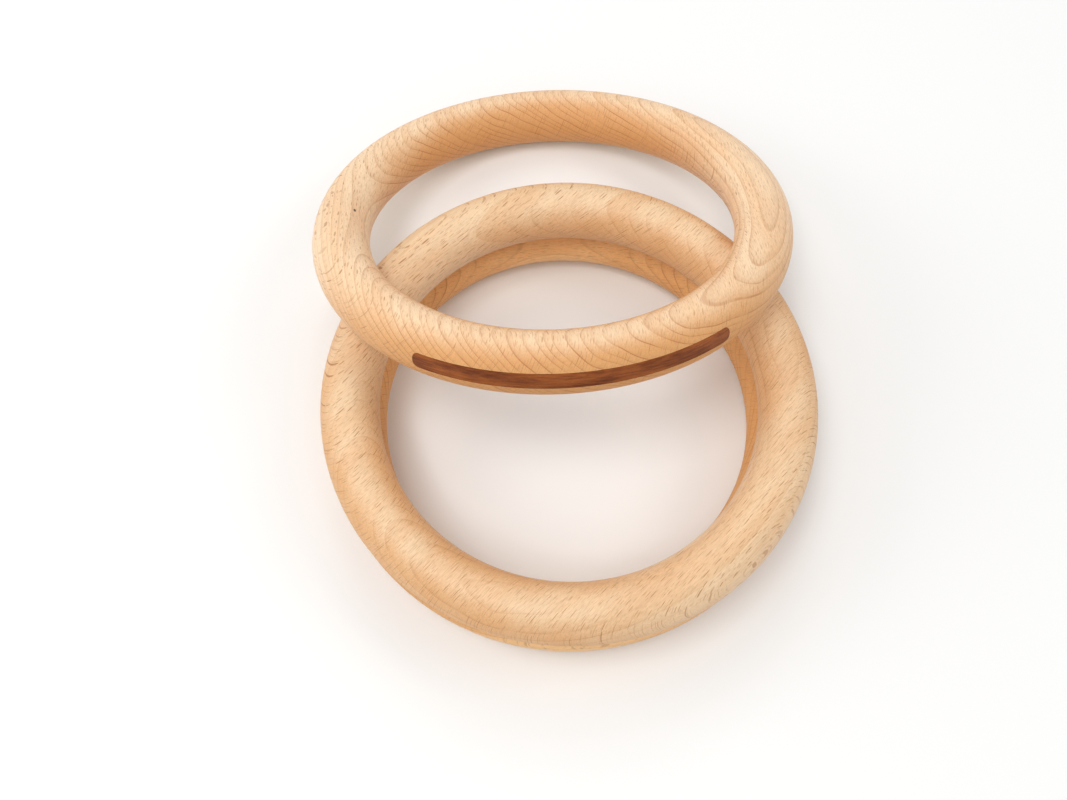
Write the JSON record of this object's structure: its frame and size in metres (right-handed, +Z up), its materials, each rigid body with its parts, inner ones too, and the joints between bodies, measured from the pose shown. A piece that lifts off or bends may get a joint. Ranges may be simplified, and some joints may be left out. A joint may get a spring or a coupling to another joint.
{
  "type": "gymnastics rings",
  "caption": "Turned one-piece wooden gymnastics rings of round section, each with a dark strip let into its outer edge, lying in a pile with the top ring leaning.",
  "frame": {"origin": "on the floor, in the middle of the pile's footprint", "axes": "+Z up. +Y towards the back, where the top ring's lower edge rests on the floor. The pile's front is -Y."},
  "size_m": [0.236, 0.3163, 0.1109],
  "materials": {
    "bottom_beech": "satin",
    "bottom_hardwood": "satin",
    "middle_beech": "satin",
    "middle_hardwood": "satin",
    "top_beech": "satin",
    "top_hardwood": "satin"
  },
  "bodies": {
    "bottom_ring": {"bottom_ring": "bottom_beech", "bottom_inlay": "bottom_hardwood"},
    "middle_ring": {"middle_ring": "middle_beech", "middle_inlay": "middle_hardwood"},
    "top_ring": {"top_ring": "top_beech", "top_inlay": "top_hardwood"}
  },
  "joints": [
    {"name": "lift_upper_rings", "type": "slide", "parent": "bottom_ring", "child": "middle_ring", "axis": [0, 0, 1], "range_m": [0, 0.1]},
    {"name": "tip_top_ring", "type": "hinge", "parent": "middle_ring", "child": "top_ring", "pos_m": [0, 0.14419, 0.014], "axis": [-1, 0, 0], "range_deg": [0, 156]}
  ]
}
